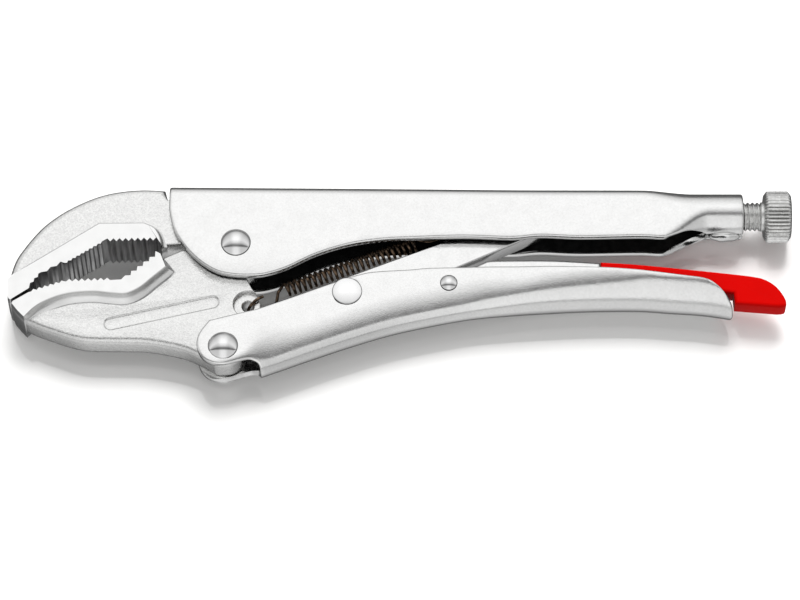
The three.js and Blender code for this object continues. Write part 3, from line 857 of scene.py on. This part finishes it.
def panel_tool(side):
    """The long plain recess on one side of the moving jaw."""
    centre, half_length, radius, tilt = Vector((-23.2, -23.7)), 16.5, 2.1, math.radians(13.5)
    way = Vector((math.cos(tilt), math.sin(tilt)))
    ends = []
    for sign, start in ((1, -90), (-1, 90)):
        middle = centre + way * half_length * sign
        ends += arc(middle, radius, start + math.degrees(tilt), start + 180 + math.degrees(tilt), 12)
    floor = HALF_FORGING - 0.32
    profile = [(0.5, floor), (0.2, floor + 0.05), (0, floor + 0.18), (-0.2, floor + 0.3),
               (-0.5, floor + 0.36), (-0.5, floor + 1)]
    if side < 0:
        profile = [(inset, -z) for inset, z in reversed(profile)]
    return plate("panel_tool", ends, profile, [FORGED], None)


# ---------------------------------------------------------------- linkage


def toggle_link():
    slope = math.degrees(math.atan2(LINK_END[1] - LINK_PIVOT[1], LINK_END[0] - LINK_PIVOT[0]))
    outline = arc(LINK_PIVOT, 6.1, slope + 90, slope + 270, 28)
    outline += arc(LINK_END, 4.2, slope - 90, slope + 90, 24)
    plate("toggle_link_bar", outline, rounded(HALF_LINK, 0.5), [PLATED], "link",
          ["toggle_link"])


def release_lever():
    top = smooth([(79.3, -4.9), (82.5, -4.2), (99, -4.1), (108, -4.5), (116.4, -5.1)])
    front = [(52.4, -18.2), (53.4, -17.2), (62, -13.5)]
    under = [(116.4, -13.6), (92, -14.4), *arc(LEVER_PIVOT, 4.4, -60, -130, 10), (53, -19.4)]
    plate("release_lever_bar", [*front, *top, *under], rounded(HALF_LEVER, 0.9), [PLATED], "lever",
          ["release_lever"])


def lever_grip():
    top = smooth([(116.5, -4.8), (129, -5.7), (149, -7.9), (163.6, -9.7), (168.6, -10.9), (172.2, -13.4),
                  (174.6, -16.9), (175.3, -19.3), (174.7, -20.7), (172.6, -21)])
    below = [(158.9, -19.8), (158.6, -16), (156, -15.8), (140, -14), (116.5, -13.9)]
    dip = plate("lever_grip_dip", [*top, *below], rounded(HALF_GRIP, 1.1, 6), [RED], "lever",
                ["lever_grip"])
    dip.visible_glossy = False


def dome(shaft, head, height, face, steps=12, wall=0.35):
    """Half of a rivet, from its shaft to the top of its head: a low wall and a spherical cap."""
    rise = height - wall
    radius = (head**2 + rise**2) / (2 * rise)
    lean = math.asin(head / radius)
    cap = [(radius * math.sin(a), height - radius * (1 - math.cos(a))) for a in
           (lean * 0.94 * (steps - k) / steps for k in range(steps + 1))]
    edge = [(head * 0.99, 0), (head, wall * 0.3), (head, wall * 0.75), (head * 0.985, wall * 1.1)]
    return [(shaft, face - 0.3), (head * 0.97, face - 0.3), *[(r, face + z) for r, z in [*edge, *cap]]]


def rivets():
    """Each rivet with a painted shadow line round its two heads: near-black rings that stand in for the shade
    at the heads' edges.

    A row is name, pivot, body, half width of the sheet, radii of shaft and head, height and wall of the head.
    """
    kinds = (
        ("jaw_rivet", JAW_PIVOT, "frame", HALF_CHANNEL, 3.2, 4.6, 2.3, 0.35),
        ("handle_rivet", HANDLE_PIVOT, "grip", HALF_CHANNEL, 3.2, 4.6, 2.3, 0.35),
        ("link_rivet", LINK_PIVOT, "grip", HALF_TROUGH, 3.2, 4.6, 0.6, 0.12),
        ("lever_rivet", LEVER_PIVOT, "grip", HALF_TROUGH, 1.8, 2.6, 1.25, 0.25),
    )
    for name, centre, body, side, shaft, head, height, wall in kinds:
        half = dome(shaft, head, height, side + 0.02, wall=wall)
        profile = [*[(radius, -z) for radius, z in reversed(half)], *half]
        turned(name + "_head", profile, centre, [RIVET], body, [name])
        # Painted shadow: a thin near-black ring just proud of the sheet round each head, for the shade in the
        # crevice at its edge.
        low, high = side - 0.05, side + 0.04
        near = [(head - 0.4, low), (head + 0.16, low), (head + 0.16, high), (head - 0.4, high)]
        far = [(radius, -z) for radius, z in reversed(near)]
        turned(name + "_painted_shadow_near", near, centre, [PAINTED_SHADE], body)
        turned(name + "_painted_shadow_far", far, centre, [PAINTED_SHADE], body)


# ---------------------------------------------------------------- screw, spring and weld


def adjusting_screw():
    """The threaded rod, its helix worked out point by point."""
    around, per_pitch = 48, 10
    end = KNOB_START - 0.9
    rows = int((end - SCREW_TIP) / THREAD_PITCH * per_pitch)
    verts = []
    for row in range(rows + 1):
        x = SCREW_TIP + (end - SCREW_TIP) * row / rows
        taper = min(1.0, (x - SCREW_TIP) / 1.5)
        for k in range(around):
            phase = (x / THREAD_PITCH - k / around) % 1
            cut = THREAD_DEPTH * abs(2 * phase - 1)
            cut = min(max(cut, 0.08), THREAD_DEPTH - 0.06)
            radius = (SCREW_RADIUS - cut) * (0.75 + 0.25 * taper)
            angle = 2 * math.pi * k / around
            verts.append((x, SCREW_Y + radius * math.cos(angle), radius * math.sin(angle)))
    faces = ring_faces(around, rows + 1)
    last = rows * around
    faces += [tuple(range(around))[::-1], tuple(range(last, last + around))]
    piece("adjusting_screw_thread", verts, faces, [TURNED], "screw", ["adjusting_screw"],
          sharp=50)


def screw_knob():
    """The knob with its straight knurl, chamfered at both ends."""
    per_ridge = 8
    around = KNOB_RIDGES * per_ridge
    rows = [(0.0, -2.2), (0.05, -1.35), (0.5, -0.7), (1.0, -0.1), (1.3, 0)]
    length = KNOB_END - KNOB_START
    rows += [(length - along, cut) for along, cut in reversed(rows)]
    verts = []
    for along, cut in rows:
        for k in range(around):
            wave = 0.5 - 0.5 * math.cos(2 * math.pi * k / per_ridge)
            groove = KNURL_DEPTH * min(1.0, max(0.0, wave * 1.7 - 0.35))
            radius = min(KNOB_RADIUS + cut, KNOB_RADIUS - groove)
            angle = 2 * math.pi * k / around
            verts.append((KNOB_START + along, SCREW_Y + radius * math.cos(angle), radius * math.sin(angle)))
    faces = ring_faces(around, len(rows))
    last = (len(rows) - 1) * around
    faces += [tuple(range(around))[::-1], tuple(range(last, last + around))]
    # The faces at the bottom of each groove take the painted shade.
    in_groove = [int((k + 1) % per_ridge // 2 == per_ridge // 4) for k in range(around)]
    indices = in_groove * (len(rows) - 1) + [0, 0]
    piece("screw_knob_knurl", verts, faces, [TURNED, GROOVE_SHADE], "knob", ["screw_knob"],
          indices=indices, sharp=40)
    front, back = KNOB_START - 1.1, KNOB_START + 0.3
    collar = [(0, front), (SCREW_RADIUS - 0.25, front), (SCREW_RADIUS, front + 0.25), (SCREW_RADIUS, back),
              (0, back)]
    turned("screw_knob_collar", collar, (0, SCREW_Y), [TURNED], "knob", along_x=True)


def tension_spring():
    """The hook, the coil and the rear hook as one wire, which runs from the jaw to the frame and is attached
    to neither.
    """
    hook = smooth(
        [(8.8, -17.3, 3.2), (6.8, -18.7, 3.7), (4.9, -20.2, 2.4), (4.2, -20.6, 0), (4.9, -20.9, -2.6),
         (7.4, -20.2, -4), (10.6, -18.8, -3.6), (12.8, -17.2, -1.8), (13.5, -14.5, 0.2)], 8
    )
    way = Vector((math.cos(COIL_SLOPE), math.sin(COIL_SLOPE), 0))
    across = Vector((-math.sin(COIL_SLOPE), math.cos(COIL_SLOPE), 0))
    steps = 20
    coil = []
    for step in range(COIL_TURNS * steps + 1):
        angle = 2 * math.pi * step / steps
        point = Vector((*COIL_START, 0)) + way * (COIL_PITCH * step / steps)
        point += across * COIL_RADIUS * math.cos(angle) + Vector((0, 0, COIL_RADIUS * math.sin(angle)))
        coil.append(tuple(point))
    tail = [(61, 5, -1.6), (64, 6, -2.4), (66.6, 7.2, -1.6), (67.3, 7.9, 0), (66.4, 8.4, 1.8)]
    joined = [*hook, *smooth([hook[-1], coil[0]], 4)[1:-1], *coil, *smooth([coil[-1], *tail], 6)[1:]]
    spring = tube("tension_spring_wire", joined, WIRE_RADIUS, 10, [WIRE], None,
                  ["tension_spring"])
    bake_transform(spring)


def spring_anchor():
    """The lug under the upper handle's web that holds the spring's rear hook."""
    lug = [(63, 17.8), (64.4, 8.6), *arc((67.3, 7.9), 2.6, 190, 350, 14), (72, 12), (74, 17.8)]
    plate("spring_anchor_lug", lug, rounded(1.1, 0.25), [PLATED], "frame", ["spring_anchor"])


def barrel_weld():
    """The bead along the closed seam: a flattened oval with a crease, under the barrel."""
    centre, half = (156.6, 5.75), (4.9, 1.35, 2.5)
    long, wide = 28, 14
    verts = []
    for row in range(long + 1):
        along = -math.cos(math.pi * row / long)
        width = math.sqrt(max(0.0, 1 - along**2))
        for k in range(wide):
            angle = 2 * math.pi * k / wide
            lump = 1 + 0.16 * math.sin(7 * along) * math.sin(angle)
            drop = half[1] * width * math.cos(angle) * lump
            verts.append((centre[0] + half[0] * along, centre[1] - drop, half[2] * width * math.sin(angle)))
    faces = ring_faces(wide, long + 1)
    piece("barrel_weld_bead", verts, faces, [PLATED], "frame", ["barrel_weld"], sharp=60)


# ---------------------------------------------------------------- studio


CAMERA_ELEVATION = math.radians(63.5)
CAMERA_DISTANCE = 1.3
CAMERA_LENS = 183.5
AIM = at(52.4, -16.95, 0)


def camera():
    data = bpy.data.cameras.new("camera")
    data.lens = CAMERA_LENS
    data.sensor_width = 36
    data.clip_end = 20
    made = bpy.data.objects.new("camera", data)
    back = Vector((0, -math.cos(CAMERA_ELEVATION), math.sin(CAMERA_ELEVATION)))
    made.location = AIM + back * CAMERA_DISTANCE
    made.rotation_mode = "QUATERNION"
    made.rotation_quaternion = (-back).to_track_quat("-Z", "Y")
    bpy.context.scene.collection.objects.link(made)
    bpy.context.scene.camera = made


def studio_floor():
    mesh = bpy.data.meshes.new("studio_floor")
    reach = 4.0
    mesh.from_pydata([(-reach, -reach, 0), (reach, -reach, 0), (reach, reach, 0), (-reach, reach, 0)], [],
                     [(0, 1, 2, 3)])
    made, _, shader = material("studio_floor", (0.95, 0.945, 0.935), 0, 0.5)
    shader.inputs["Coat Weight"].default_value = 1
    shader.inputs["Coat Roughness"].default_value = 0.04
    shader.inputs["Coat IOR"].default_value = 1.9
    mesh.materials.append(made)
    floor = bpy.data.objects.new("studio_floor", mesh)
    bpy.context.scene.collection.objects.link(floor)
    floor.visible_glossy = False
    floor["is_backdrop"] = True


# The light of the tent by its angle from straight up, in degrees, positive on the camera's side. Beyond 90
# it is what the metal mirrors from below: bright in front, dark behind.
TENT = (
    (-180, 0.25), (-150, 0.2), (-100, 0.15), (-91, 0.22), (-86, 0.5), (-80, 0.66), (-66, 0.88), (-53, 1.02),
    (-42, 1.14), (-31, 1.21), (-24, 1.2), (-17, 1.04), (-8, 0.88), (0, 0.57), (6, 0.26), (12, 0.17),
    (17, 0.42), (22, 0.9), (84, 1.0), (88, 0.55), (93, 0.45), (98, 0.75), (140, 0.8), (165, 0.5),
    (180, 0.25),
)
# Its share left towards the ends of the tool.
TENT_ENDS = 0.7


def computed(tree, operation, *values):
    """A math node over sockets and plain numbers."""
    made = tree.nodes.new("ShaderNodeMath")
    made.operation = operation
    for socket, value in zip(made.inputs, values):
        if isinstance(value, bpy.types.NodeSocket):
            tree.links.new(value, socket)
        else:
            socket.default_value = value
    return made.outputs["Value"]


def studio_tent():
    """A white tent round the tool, as a world whose brightness depends on the direction only."""
    world = bpy.data.worlds.new("studio_tent")
    bpy.context.scene.world = world
    world.use_nodes = True
    tree = world.node_tree
    place = tree.nodes.new("ShaderNodeTexCoord")
    split = tree.nodes.new("ShaderNodeSeparateXYZ")
    tree.links.new(place.outputs["Generated"], split.inputs["Vector"])
    forward = computed(tree, "MULTIPLY", split.outputs["Y"], -1)
    angle = computed(tree, "ARCTAN2", forward, split.outputs["Z"])
    ramp = tree.nodes.new("ShaderNodeValToRGB")
    stops = ramp.color_ramp.elements
    while len(stops) < len(TENT):
        stops.new(0.5)
    for stop, (degrees, level) in zip(stops, TENT):
        stop.position = (degrees + 180) / 360
        stop.color = (level, level, level, 1)
    tree.links.new(ranged(tree, angle, 0, 1, -math.pi, math.pi), ramp.inputs["Fac"])
    ends = ranged(tree, computed(tree, "ABSOLUTE", split.outputs["X"]), 1, TENT_ENDS, 0.1, 0.55)
    ends.node.interpolation_type = "SMOOTHSTEP"
    dimmed = tree.nodes.new("ShaderNodeVectorMath")
    dimmed.operation = "SCALE"
    tree.links.new(ramp.outputs["Color"], dimmed.inputs["Vector"])
    tree.links.new(ends, dimmed.inputs["Scale"])
    tree.links.new(dimmed.outputs["Vector"], tree.nodes["Background"].inputs["Color"])


def soft_light(name, place, size, watts):
    data = bpy.data.lights.new(name, "AREA")
    data.shape = "SQUARE"
    data.size = size
    data.energy = watts
    made = bpy.data.objects.new(name, data)
    made.location = place
    made.rotation_mode = "QUATERNION"
    made.rotation_quaternion = (AIM - Vector(place)).to_track_quat("-Z", "Y")
    made.visible_glossy = False
    bpy.context.scene.collection.objects.link(made)


camera()
upper_handle()
lower_handle()
fixed_jaw()
moving_jaw()
toggle_link()
release_lever()
lever_grip()
rivets()
adjusting_screw()
screw_knob()
tension_spring()
spring_anchor()
barrel_weld()
studio_floor()
studio_tent()
soft_light("back_light", (0.1, 1.0, 1.3), 0.9, 30)
bpy.context.scene.view_settings.view_transform = "Standard"

seen_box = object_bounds()
boxes = {"cad": cad_box, "seen": seen_box}
{name: [list(corner) for corner in box] for name, box in boxes.items()}
